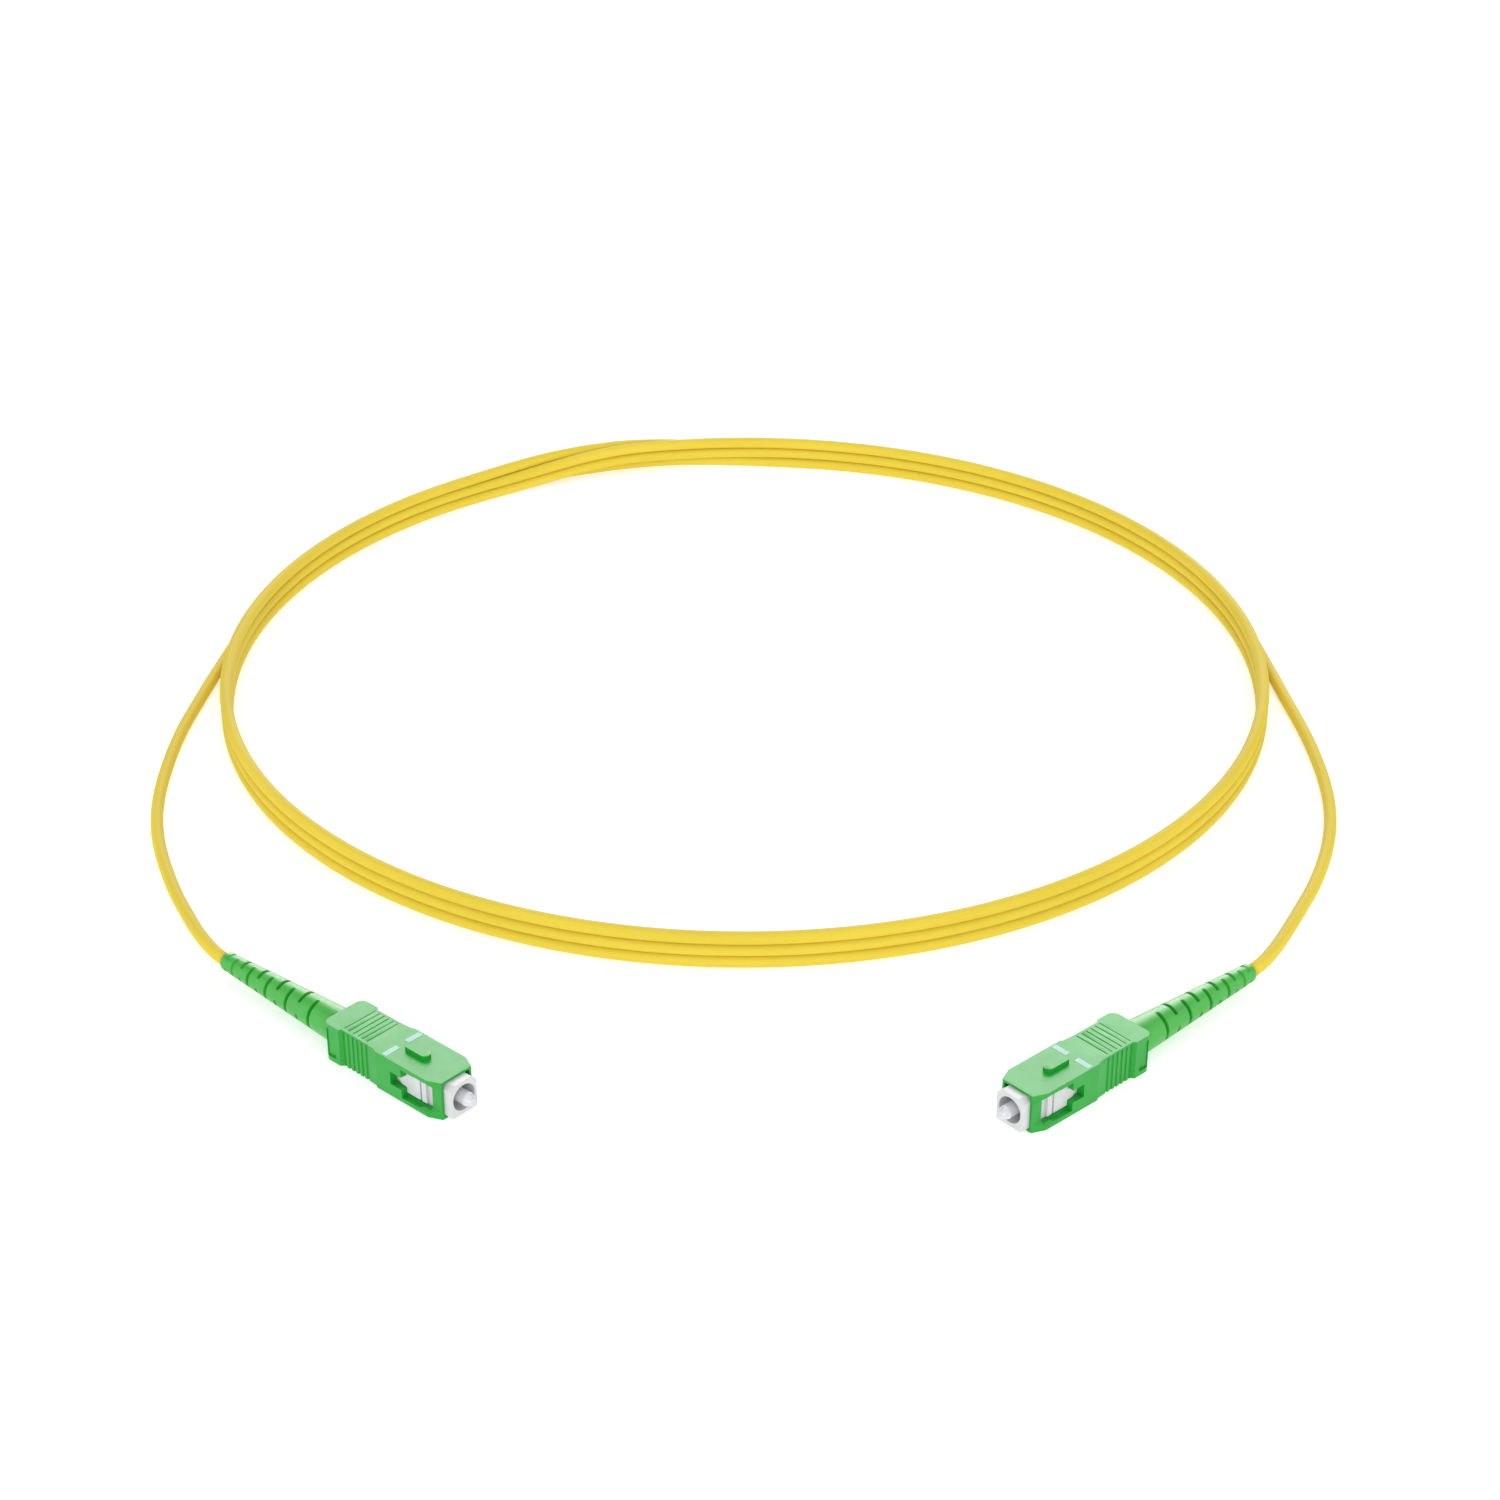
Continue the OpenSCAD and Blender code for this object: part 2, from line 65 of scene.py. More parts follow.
# ---------------------------------------------------------------- cord's route
CORD_D = 2.4 * MM
COIL_CENTRE = Vector((1.2, 131.7, 0)) * MM
COIL_R = 105.6 * MM
COIL_TURNS = 3
COIL_END_ANGLE = 10
POINTS_PER_TURN = 72
PATH_STEP = 1.6 * MM
JACKET_SIDES = 24
CURVE_STEPS = 24        # straight bits that stand for the curve between two route points
PLUG_YAW = math.radians(42)
AXIS_Z = 3.7 * MM
PLUG_FRONT = {
    "left": Vector((-46.1, -16.9, 0)) * MM,
    "right": Vector((46.1, -20.5, 0)) * MM,
}
PLUG_AXIS = {
    "left": Vector((math.cos(PLUG_YAW), -math.sin(PLUG_YAW), 0)),
    "right": Vector((-math.cos(PLUG_YAW), -math.sin(PLUG_YAW), 0)),
}
BOOT_TIP_X = -59 * MM
# The tails' routes in mm, each from its boot to the coil.
LEFT_WAY = [
    (-91, 23.6, 3.7), (-92.8, 26, 3.6), (-94.9, 29.4, 3.5), (-97.2, 33.9, 3.2),
    (-99.8, 39.8, 2.7), (-102.5, 46.3, 2.1), (-104.9, 52.9, 1.6), (-107.4, 60.4, 1.3),
    (-109.5, 68, 1.2), (-111, 76, 1.2), (-111.8, 84.5, 1.2), (-112, 93, 1.2),
    (-111.8, 101.5, 1.2), (-111.2, 110, 1.2), (-110.1, 118.5, 1.2), (-108.9, 127, 1.2),
    (-107.6, 135.5, 1.2), (-106.2, 144, 1.2),
]
RIGHT_WAY = [
    (91, 20, 3.7), (92.8, 22.4, 3.6), (94.9, 25.8, 3.5), (97.2, 30.3, 3.2),
    (99.9, 36.2, 2.7), (102.7, 42.6, 2.1), (105.5, 49.1, 1.6), (108.3, 56.5, 1.3),
    (110.7, 64.2, 1.2), (112.5, 72, 1.2), (113.6, 80, 1.2), (114, 88, 1.2),
    (113.9, 96, 1.2), (113.4, 104.5, 1.2), (112.5, 113, 1.2), (111.4, 121.5, 1.2),
    (110.4, 130, 1.2), (109.5, 137, 1.2), (108.6, 144, 1.2),
]
# Where turns change level, in degrees past the left tail's joint (clockwise from above).
CROSSING = (42, 66)
LAST_TURN_DOWN = (62, 94)
FIRST_TURN_IN = (66, 86)


def ease(x, span):
    """0 before the span, 1 after it, and a smooth rise between."""
    t = min(max((x - span[0]) / (span[1] - span[0]), 0), 1)
    return t * t * (3 - 2 * t)


def coil_point(travel):
    """The jacket's centre after that many degrees along the coil."""
    turn, angle = divmod(travel, 360)
    turn = int(turn)
    # The last turn rolls outward over the turn below it, which climbs and stays in touch.
    roll = math.pi / 2 * ease(angle, CROSSING)
    outward = 0.0
    level = 0.5 + min(turn, COIL_TURNS)
    if turn == 0:
        outward = 1 - ease(angle, FIRST_TURN_IN)
    elif turn < COIL_TURNS:
        level -= math.cos(roll)
    else:
        outward = math.sin(roll)
        level -= 1 + (COIL_TURNS - 1) * ease(angle, LAST_TURN_DOWN)
    azimuth = math.radians(180 - COIL_END_ANGLE - travel)
    r = COIL_R + outward * CORD_D
    return COIL_CENTRE + Vector((r * math.cos(azimuth), r * math.sin(azimuth), level * CORD_D))


def smooth_route(points, step):
    """A Catmull-Rom curve through the points, resampled at even steps."""
    dense = []
    padded = [2 * points[0] - points[1], *points, 2 * points[-1] - points[-2]]
    for a, b, c, d in zip(padded, padded[1:], padded[2:], padded[3:]):
        for i in range(CURVE_STEPS):
            t = i / CURVE_STEPS
            dense.append(0.5 * (2 * b + (c - a) * t + (2 * a - 5 * b + 4 * c - d) * t ** 2
                                + (3 * b - a - 3 * c + d) * t ** 3))
    dense.append(points[-1])
    run = [0.0]
    for a, b in zip(dense, dense[1:]):
        run.append(run[-1] + (b - a).length)
    count = round(run[-1] / step)
    even, k = [], 0
    for i in range(count + 1):
        want = run[-1] * i / count
        while k < len(run) - 2 and run[k + 1] < want:
            k += 1
        even.append(dense[k].lerp(dense[k + 1], (want - run[k]) / (run[k + 1] - run[k])))
    return even


def boot_tip(side):
    """Where the jacket leaves the boot."""
    return PLUG_FRONT[side] + BOOT_TIP_X * PLUG_AXIS[side] + Vector((0, 0, AXIS_Z))


def cord_points():
    """The whole cord's route: left tail, coil, right tail."""
    turns = 360 * COIL_TURNS + 180 - 2 * COIL_END_ANGLE
    count = round(turns / 360 * POINTS_PER_TURN)
    coil = [coil_point(turns * i / count) for i in range(count + 1)]
    left = [boot_tip("left")] + [Vector(p) * MM for p in LEFT_WAY]
    right = [Vector(p) * MM for p in reversed(RIGHT_WAY)] + [boot_tip("right")]
    return left + coil + right


def new_piece(name, mesh, material, slot, body, *replaced):
    """Turns a bmesh into a piece that rides on a body and stands for the CAD nodes named."""
    data = bpy.data.meshes.new(name)
    mesh.to_mesh(data)
    mesh.free()
    obj = bpy.data.objects.new(name, data)
    scene.collection.objects.link(obj)
    data.materials.append(material)
    if replaced:
        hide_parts(*replaced)
    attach(obj, body)
    return obj


def tube(path, radius, sides):
    """A closed tube along the path, with UVs in metres along and turns round it."""
    mesh = bmesh.new()
    uv = mesh.loops.layers.uv.new("along")
    rings, run = [], 0.0
    side = Vector((0, 0, 1)).cross(path[1] - path[0]).normalized()
    for i, p in enumerate(path):
        along = (path[min(i + 1, len(path) - 1)] - path[max(i - 1, 0)]).normalized()
        side = (side - side.dot(along) * along).normalized()
        up = along.cross(side)
        if i:
            run += (p - path[i - 1]).length
        ring = []
        for k in range(sides):
            a = 2 * math.pi * k / sides
            ring.append(mesh.verts.new(p + radius * (math.cos(a) * side + math.sin(a) * up)))
        rings.append((run, ring))
    for (u0, r0), (u1, r1) in zip(rings, rings[1:]):
        for k in range(sides):
            n = (k + 1) % sides
            face = mesh.faces.new((r0[k], r0[n], r1[n], r1[k]))
            face.smooth = True
            for loop, (u, v) in zip(face.loops, ((u0, k), (u0, k + 1), (u1, k + 1), (u1, k))):
                loop[uv].uv = (u, v / sides)
    mesh.faces.new(list(reversed(rings[0][1])))
    mesh.faces.new(rings[-1][1])
    bmesh.ops.recalc_face_normals(mesh, faces=mesh.faces)
    return mesh


# ---------------------------------------------------------------- materials
class Look:
    """A material under construction: its nodes, and its Principled shader's sockets by name."""

    def __init__(self, name, **fixed):
        self.material = bpy.data.materials.new(name)
        self.material.use_nodes = True
        self.tree = self.material.node_tree
        self.shader = self.tree.nodes["Principled BSDF"]
        for socket, value in fixed.items():
            self.shader.inputs[socket.replace("_", " ")].default_value = value

    def add(self, kind, inputs=(), **settings):
        node = self.tree.nodes.new("ShaderNode" + kind)
        for key, value in settings.items():
            setattr(node, key, value)
        for key, value in dict(inputs).items():
            if isinstance(value, bpy.types.NodeSocket):
                self.tree.links.new(value, node.inputs[key])
            else:
                node.inputs[key].default_value = value
        return node

    def place(self, stretch=(1, 1, 1), turn=0.0):
        """Object coordinates, turned about Z and then stretched."""
        where = self.add("TexCoord").outputs["Object"]
        turned = self.add("VectorRotate", {"Vector": where, "Angle": turn}, rotation_type="Z_AXIS")
        return self.add("VectorMath", {0: turned.outputs[0], 1: stretch}, operation="MULTIPLY").outputs[0]

    def along(self, stretch):
        """The swept tube's own coordinates: metres along it and turns round it."""
        where = self.add("UVMap", uv_map="along").outputs[0]
        return self.add("VectorMath", {0: where, 1: stretch}, operation="MULTIPLY").outputs[0]

    def noise(self, where, scale, detail=2.0, distortion=0.0):
        inputs = {"Vector": where, "Scale": scale, "Detail": detail, "Distortion": distortion}
        return self.add("TexNoise", inputs).outputs["Fac"]

    def spread(self, value, low, high, start=0.3, end=0.7):
        """Maps a noise value onto low to high."""
        inputs = {"Value": value, "From Min": start, "From Max": end, "To Min": low, "To Max": high}
        return self.add("MapRange", inputs).outputs["Result"]

    def colours(self, value, first, second, start=0.3, end=0.7):
        share = self.spread(value, 0.0, 1.0, start, end)
        mix = self.add("Mix", {"Factor": share}, data_type="RGBA")
        mix.inputs["A"].default_value = (*first, 1)
        mix.inputs["B"].default_value = (*second, 1)
        return mix.outputs["Result"]

    def paint(self, colour):
        self.tree.links.new(colour, self.shader.inputs["Base Color"])

    def rough(self, value):
        self.tree.links.new(value, self.shader.inputs["Roughness"])

    def bump(self, heights):
        """Chains bumps, each a height value, a strength and a depth in metres."""
        normal = None
        for height, strength, depth in heights:
            inputs = {"Height": height, "Strength": strength, "Distance": depth}
            if normal:
                inputs["Normal"] = normal
            normal = self.add("Bump", inputs).outputs["Normal"]
        self.tree.links.new(normal, self.shader.inputs["Normal"])


def moulded_plastic(name, light, dark, roughness, grain_depth, **fixed):
    """Moulded plastic: faint flow marks in its colour, a fine etched grain, and uneven gloss."""
    look = Look(name, **fixed)
    where = look.place()
    flow = look.noise(where, scale=170, detail=3, distortion=0.6)
    specks = look.noise(where, scale=2600)
    tone = look.add("Math", {0: flow, 1: look.spread(specks, -0.06, 0.06)}, operation="ADD").outputs[0]
    look.paint(look.colours(tone, dark, light, start=0.32, end=0.68))
    gloss = look.noise(where, scale=900, detail=3)
    look.rough(look.spread(gloss, roughness - 0.05, roughness + 0.06))
    grain = look.noise(where, scale=7000)
    waves = look.noise(where, scale=420)
    look.bump([(grain, 0.35, grain_depth), (waves, 0.25, 4 * grain_depth)])
    return look.material


def cord_jacket():
    """Extruded jacket: die lines along it, a dull fine skin, and slow changes of tone."""
    look = Look("jacket_yellow", IOR=1.46, Specular_IOR_Level=0.12)
    tone = look.noise(look.along((30, 1.5, 1)), scale=1.0, detail=3)
    lines = look.noise(look.along((25, 22, 1)), scale=1.0)
    skin = look.noise(look.along((9000, 70, 1)), scale=1.0)
    mixed = look.add("Math", {0: tone, 1: look.spread(lines, -0.07, 0.07)}, operation="ADD").outputs[0]
    look.paint(look.colours(mixed, (0.69, 0.530, 0.047), (0.745, 0.575, 0.057)))
    look.rough(look.spread(skin, 0.50, 0.64))
    look.bump([(lines, 0.3, 0.012 * MM), (skin, 0.3, 0.006 * MM)])
    return look.material


def jacket_core():
    """The same jacket inside the boots, where it has no swept coordinates."""
    look = Look("jacket_end_yellow", IOR=1.46, Specular_IOR_Level=0.15)
    where = look.place()
    tone = look.noise(where, scale=600, detail=3)
    look.paint(look.colours(tone, (0.66, 0.50, 0.045), (0.72, 0.55, 0.055)))
    look.rough(look.spread(look.noise(where, scale=5000), 0.52, 0.64))
    look.bump([(look.noise(where, scale=6000), 0.3, 0.008 * MM)])
    return look.material


def ceramic():
    """Ground and polished zirconia: a clear gloss over faint changes of tone."""
    look = Look("zirconia", IOR=1.9, Specular_IOR_Level=0.35, Coat_Weight=0.5, Coat_Roughness=0.06)
    where = look.place()
    tone = look.noise(where, scale=500)
    look.paint(look.colours(tone, (0.58, 0.585, 0.63), (0.63, 0.635, 0.68)))
    look.rough(look.spread(look.noise(where, scale=2500, detail=3), 0.14, 0.22))
    look.bump([(look.noise(where, scale=9000), 0.15, 0.002 * MM)])
    return look.material


# The turn about Z that lays a plug's axis along X.
AXIS_TURN = {"left": PLUG_YAW, "right": math.pi - PLUG_YAW}


def turned_metal(name, side, light, dark, roughness, pitch):
    """Metal turned on a lathe: fine tool rings across the plug's axis and slightly uneven tone."""
    look = Look(name, Metallic=1.0)
    where = look.place(turn=AXIS_TURN[side])
    across = look.add("SeparateXYZ", {0: where}).outputs["X"]
    phase = look.add("Math", {0: across, 1: 2 * math.pi / pitch}, operation="MULTIPLY").outputs[0]
    rings = look.add("Math", {0: phase}, operation="SINE").outputs[0]
    look.paint(look.colours(look.noise(where, scale=700, detail=3), dark, light))
    look.rough(look.spread(look.noise(where, scale=3000), roughness - 0.06, roughness + 0.08))
    look.bump([(rings, 0.25, 0.004 * MM), (look.noise(where, scale=8000), 0.2, 0.003 * MM)])
    return look.material


def spun_yarn(side):
    """Aramid yarn: bright filaments that run along the plug."""
    look = Look("yarn_" + side, Sheen_Weight=0.3, Sheen_Roughness=0.4)
    where = look.place(stretch=(0.06, 1, 1), turn=AXIS_TURN[side])
    strands = look.noise(where, scale=7000, detail=3)
    look.paint(look.colours(strands, (0.50, 0.34, 0.06), (0.86, 0.68, 0.24)))
    look.rough(look.spread(strands, 0.7, 0.5))
    look.bump([(strands, 0.8, 0.05 * MM)])
    return look.material


def clear_glass():
    """The fiber's clear silica."""
    look = Look("glass_fiber", IOR=1.468, Transmission_Weight=0.9)
    where = look.place()
    tone = look.noise(where, scale=900)
    look.paint(look.colours(tone, (0.86, 0.91, 0.92), (0.95, 0.98, 0.98)))
    look.rough(look.spread(look.noise(where, scale=9000), 0.02, 0.06))
    look.bump([(look.noise(where, scale=20000), 0.1, 0.001 * MM)])
    return look.material


SATIN = {"IOR": 1.5, "Specular_IOR_Level": 0.33}
grip_green = moulded_plastic(
    "grip_green", light=(0.007, 0.345, 0.027), dark=(0.005, 0.315, 0.023), roughness=0.36,
    grain_depth=0.004 * MM, Coat_Weight=0.25, Coat_Roughness=0.34, **SATIN)
boot_green = moulded_plastic(
    "boot_green", light=(0.034, 0.395, 0.032), dark=(0.028, 0.365, 0.028), roughness=0.42,
    grain_depth=0.008 * MM, Coat_Weight=0.50, Coat_Roughness=0.46, **SATIN)
frame_white = moulded_plastic(
    "frame_white", light=(0.62, 0.63, 0.635), dark=(0.58, 0.59, 0.595), roughness=0.30,
    grain_depth=0.003 * MM, Coat_Weight=0.2, Coat_Roughness=0.15, **SATIN)
mark_white = moulded_plastic(
    "mark_white", light=(0.40, 0.68, 0.59), dark=(0.37, 0.65, 0.56), roughness=0.42,
    grain_depth=0.004 * MM, **SATIN)
buffer_white = moulded_plastic(
    "buffer_white", light=(0.62, 0.62, 0.60), dark=(0.56, 0.56, 0.54), roughness=0.45,
    grain_depth=0.004 * MM, **SATIN)
jacket_yellow = cord_jacket()
jacket_end_yellow = jacket_core()
zirconia = ceramic()
glass_fiber = clear_glass()

# ---------------------------------------------------------------- jacket
cord_path = smooth_route(cord_points(), PATH_STEP)
jacket = new_piece("jacket", tube(cord_path, CORD_D / 2, JACKET_SIDES), jacket_yellow, "jacket_yellow",
                   "cord_and_frames", "left_tail", "coil", "right_tail")


# ---------------------------------------------------------------- plugs
# From here on the plugs' sizes are in mm, in the plug's own frame.
AXIS_H = AXIS_Z / MM
TIP_X = BOOT_TIP_X / MM
JOIN_DIST = 0.002       # corners closer than this are one corner
WELD_DIST = 0.0008      # slivers smaller than this are welded shut after the bevels
ON_PLANE = 0.01         # an edge this close to a plane lies on it
BEVEL_SEGMENTS = 3
CONVEX_DEG = 30
SHARP_DEG = 35


def plug_matrix(side):
    """From a plug's own frame (X to its nose, 0 at the grip's front, Z up) to the shared frame."""
    x = PLUG_AXIS[side]
    y = Vector((0, 0, 1)).cross(x)
    turn = Matrix((x, y, (0, 0, 1))).transposed().to_4x4()
    return Matrix.Translation(PLUG_FRONT[side]) @ turn


def clean_copy(node):
    """A CAD node's mesh in the plug's own frame, in mm, with its doubled corners joined."""
    mesh = bmesh.new()
    mesh.from_mesh(nodes[node].data)
    side = node.split("_")[0]
    bmesh.ops.transform(mesh, matrix=Matrix.Scale(1 / MM, 4) @ plug_matrix(side).inverted(), verts=mesh.verts)
    bmesh.ops.remove_doubles(mesh, verts=mesh.verts, dist=JOIN_DIST)
    return mesh


def round_edges(mesh, radius_of):
    """Bevels each convex sharp edge by the radius that radius_of gives for it, largest radius first."""
    for radius in sorted({r for r in (radius_of(e) for e in mesh.edges) if r}, reverse=True):
        edges = [e for e in mesh.edges if radius_of(e) == radius]
        bmesh.ops.bevel(mesh, geom=edges, offset=radius, offset_type="OFFSET", segments=BEVEL_SEGMENTS,
                        profile=0.5, affect="EDGES", clamp_overlap=True, loop_slide=True)
    bmesh.ops.dissolve_degenerate(mesh, dist=WELD_DIST, edges=mesh.edges)
    bmesh.ops.remove_doubles(mesh, verts=mesh.verts, dist=WELD_DIST)


def is_convex(edge):
    """Whether two faces meet here at an outer corner sharp enough to round."""
    return len(edge.link_faces) == 2 and edge.calc_face_angle_signed(0) > math.radians(CONVEX_DEG)


def both_at(a, b, place):
    """Whether an edge's two ends, given by one coordinate each, lie at this place."""
    return abs(a - place) < ON_PLANE and abs(b - place) < ON_PLANE


def to_frame(mesh, side):
    """Takes a plug's mesh to the shared frame in metres, smooth but for its sharp edges."""
    bmesh.ops.transform(mesh, matrix=plug_matrix(side) @ Matrix.Scale(MM, 4), verts=mesh.verts)
    for face in mesh.faces:
        face.smooth = True
    for edge in mesh.edges:
        if len(edge.link_faces) == 2 and edge.calc_face_angle(0) > math.radians(SHARP_DEG):
            edge.smooth = False


def flat_faces_first(piece):
    """Lets the large flat faces keep flat normals, so that only the rounded edges shade round."""
    normals = piece.modifiers.new("normals", "WEIGHTED_NORMAL")
    normals.weight = 100
    normals.keep_sharp = True
    return piece


GRIP_H = 7.4
GRIP_L = 28.0
KEY_TOP = 8.2
GRIP_SIDE_Y = 3.3       # what lies further out than this belongs to the grip's sides
GRIP_END_DEPTH = 0.02
GRIP_UPRIGHT = 3        # an edge that rises by more than this is an upright corner
GRIP_TOP_ROUND = 0.28
GRIP_END_ROUND = 0.15
GRIP_UPRIGHT_ROUND = 0.12
KEY_ROUND = 0.16


def grip_edge(edge):
    """The radius that this edge of the grip housing gets."""
    if not is_convex(edge):
        return 0
    a, b = (v.co for v in edge.verts)
    middle = (a + b) / 2
    on_side = abs(middle.y) > GRIP_SIDE_Y
    on_end = middle.x > -GRIP_END_DEPTH or middle.x < GRIP_END_DEPTH - GRIP_L
    if both_at(a.z, b.z, GRIP_H):
        if on_side:
            return GRIP_TOP_ROUND
        return GRIP_END_ROUND if on_end else 0
    if both_at(a.z, b.z, KEY_TOP):
        return KEY_ROUND
    if abs(a.z - b.z) > GRIP_UPRIGHT and on_side:
        return GRIP_UPRIGHT_ROUND
    return 0


def build_grip(side):
    """The green outer sleeve, with rounded edges."""
    mesh = clean_copy(side + "_grip_housing")
    round_edges(mesh, grip_edge)
    to_frame(mesh, side)
    grip = new_piece(side + "_grip_shell", mesh, grip_green, "grip_green", side + "_grip",
                     side + "_grip_housing")
    return flat_faces_first(grip)


FRAME_NOSE_X = 1.7
FRAME_BORE_REACH = 2.45     # the nose edges nearer the axis than this are the bore's
FRAME_SIDE_Y = 3            # what lies further out than this belongs to the frame's sides
FRAME_LONG = 1              # an edge that runs further than this along the plug is a long one
FRAME_ROUND = 0.18
FRAME_BORE_ROUND = 0.1
FRAME_SIDE_ROUND = 0.08


def frame_edge(edge):
    """The radius that this edge of the plug frame gets."""
    if not is_convex(edge):
        return 0
    a, b = (v.co for v in edge.verts)
    middle = (a + b) / 2
    if both_at(a.x, b.x, FRAME_NOSE_X):
        on_bore = math.hypot(middle.y, middle.z - AXIS_H) < FRAME_BORE_REACH
        return FRAME_BORE_ROUND if on_bore else FRAME_ROUND
    if abs(a.x - b.x) > FRAME_LONG and abs(middle.y) < FRAME_SIDE_Y:
        return FRAME_ROUND
    return FRAME_SIDE_ROUND if abs(middle.y) > FRAME_SIDE_Y else 0


def build_frame(side):
    """The white inner body, with rounded edges."""
    mesh = clean_copy(side + "_plug_frame")
    round_edges(mesh, frame_edge)
    to_frame(mesh, side)
    inner = new_piece(side + "_inner_frame", mesh, frame_white, "frame_white", "cord_and_frames",
                      side + "_plug_frame")
    return flat_faces_first(inner)


def join_rings(mesh, rings):
    """Joins each ring of corners to the next, and the last to the first, with quads."""
    for near, far in zip(rings, rings[1:] + rings[:1]):
        for k in range(len(near)):
            n = (k + 1) % len(near)
            mesh.faces.new((near[k], near[n], far[n], far[k]))
    bmesh.ops.recalc_face_normals(mesh, faces=mesh.faces)


def fillet(x, r, radius, start, end, steps=5):
    """Points of an arc about (x, r), in degrees from the X axis toward larger radii."""
    angles = [math.radians(start + (end - start) * i / steps) for i in range(steps + 1)]
    return [(x + radius * math.cos(a), r + radius * math.sin(a)) for a in angles]


FERRULE_SIDES = 64
FERRULE_R = 1.25
FERRULE_TIP_X = 3.9
FERRULE_REAR_X = -6.6
BOND_R = 1.075              # the rear end, which is bonded into the flange
BOND_FRONT_X = -4.5
BOND_STEP_L = 0.05
BOND_CHAMFER_L = 0.1
BOND_CHAMFER_R = 0.98
CONE_L = 1.1
CONE_TIP_R = 0.65
SHOULDER_ROUND = 0.6
SHOULDER_LEAD = 0.35        # straight side ends this far behind the cone
TIP_ROUND = 0.3
TIP_ROUND_DROP = 0.22       # the tip's rounding is centred this far inside the cone's end
FACE_R = 0.3
FACE_DEPTH = 0.2
FIBER_R = 0.0635
POLISH = math.tan(math.radians(8))


def polished(p):
    """Leans the ferrule's end face back toward its top."""
    share = ease(p.x, (FERRULE_TIP_X - CONE_L, FERRULE_TIP_X - FACE_DEPTH))
    return Vector((p.x - POLISH * p.z * share, p.y, p.z))


def ferrule_profile():
    """The ferrule's section as (x, radius), from the rear end of its bore round to the front."""
    cone = math.degrees(math.atan2(CONE_L, FERRULE_R - CONE_TIP_R))
    shoulder_x = FERRULE_TIP_X - CONE_L
    return [
        (FERRULE_REAR_X, FIBER_R),
        (FERRULE_REAR_X, BOND_CHAMFER_R),
        (FERRULE_REAR_X + BOND_CHAMFER_L, BOND_R),
        (BOND_FRONT_X, BOND_R),
        (BOND_FRONT_X + BOND_STEP_L, FERRULE_R),
        (0, FERRULE_R),
        (shoulder_x - SHOULDER_LEAD, FERRULE_R),
        *fillet(shoulder_x - SHOULDER_ROUND / 2, FERRULE_R - SHOULDER_ROUND, SHOULDER_ROUND, 90, cone + 5),
        *fillet(FERRULE_TIP_X - TIP_ROUND, CONE_TIP_R - TIP_ROUND_DROP, TIP_ROUND, cone - 8, 0),
        (FERRULE_TIP_X, FACE_R),
        (FERRULE_TIP_X, FIBER_R),
    ]


def build_ferrule(side):
    """The ceramic ferrule, with a rounded cone and an angled end face."""
    mesh = bmesh.new()
    rings = []
    for x, r in ferrule_profile():
        ring = []
        for k in range(FERRULE_SIDES):
            a = 2 * math.pi * k / FERRULE_SIDES
            p = polished(Vector((x, r * math.cos(a), r * math.sin(a))))
            ring.append(mesh.verts.new(p + Vector((0, 0, AXIS_H))))
        rings.append(ring)
    join_rings(mesh, rings)
    to_frame(mesh, side)
    return new_piece(side + "_ceramic_ferrule", mesh, zirconia, "zirconia", side + "_ferrule_group",
                     side + "_ferrule")


BOOT_SIDES = 144
BOOT_FRONT_X = -19.4
BOOT_BASE_R = 3.25
BOOT_TIP_R = 1.7
BOOT_LIP_R = 0.75
BOOT_LIP_DEGREES = range(0, 50, 8)
BOOT_MOUTH_DEPTH = 0.16     # the bore's mouth stands this far inside the tip
JACKET_BORE_R = 1.25
JACKET_BORE_X = -29.2       # where the jacket's bore widens to the neck's
NECK_BORE_R = 1.6
NECK_BORE_X = -25.2
SLEEVE_BORE_R = 2.2
SLEEVE_BORE_X = -24.0
PLAIN_STATIONS = (-24.0, -30.0, -32.0)
SLOT_STATIONS = 10
SLOT_FIRST_X = -34.0
SLOT_PITCH = 3.3
SLOT_PITCH_DROP = 0.08
SLOT_W = 0.62
SLOT_ARC = math.radians(130)
SLOT_TURN = math.radians(22)
SLOT_FLOOR_R = 1.55
SLOT_EDGE = 0.16            # width of the slots' rounded rims
SLOT_REACH = 1              # nothing further than this along the boot is part of a slot
FLOOR_STEPS = (0.03, 0.1, 0.2)                      # from the slot's middle
RIM_STEPS = (-0.07, -0.03, 0, 0.03, 0.06, 0.1)      # from the slot's side wall


def slot_x(i):
    """The middle of slot i along the boot."""
    return SLOT_FIRST_X - SLOT_PITCH * i + SLOT_PITCH_DROP * i * i


def boot_r(x):
    """The boot's outer radius, without its slots."""
    if x > -GRIP_L:
        return BOOT_BASE_R
    taper_end = TIP_X + BOOT_LIP_R
    if x > taper_end:
        return BOOT_TIP_R + (BOOT_BASE_R - BOOT_TIP_R) * (x - taper_end) / (-GRIP_L - taper_end)
    return BOOT_TIP_R - BOOT_LIP_R + math.sqrt(max(BOOT_LIP_R ** 2 - (taper_end - x) ** 2, 0))


def slot_depth(x, angle, hand):
    """How far a point of the boot's skin is sunk into a slot: 0 outside, 1 on its floor."""
    deepest = 0.0
    r = boot_r(x)
    for i in range(SLOT_STATIONS):
        if abs(x - slot_x(i)) > SLOT_REACH:
            continue
        for half_turn in (0, math.pi):
            middle = hand * SLOT_TURN + math.pi / 2 * (i % 2) + half_turn
            away = (angle - middle + math.pi) % (2 * math.pi) - math.pi
            past = max(abs(away) * r - (SLOT_ARC * r - SLOT_W) / 2, 0)
            gap = math.hypot(x - slot_x(i), past) - SLOT_W / 2
            deepest = max(deepest, ease(SLOT_EDGE / 2 - gap, (0, SLOT_EDGE)))
    return deepest


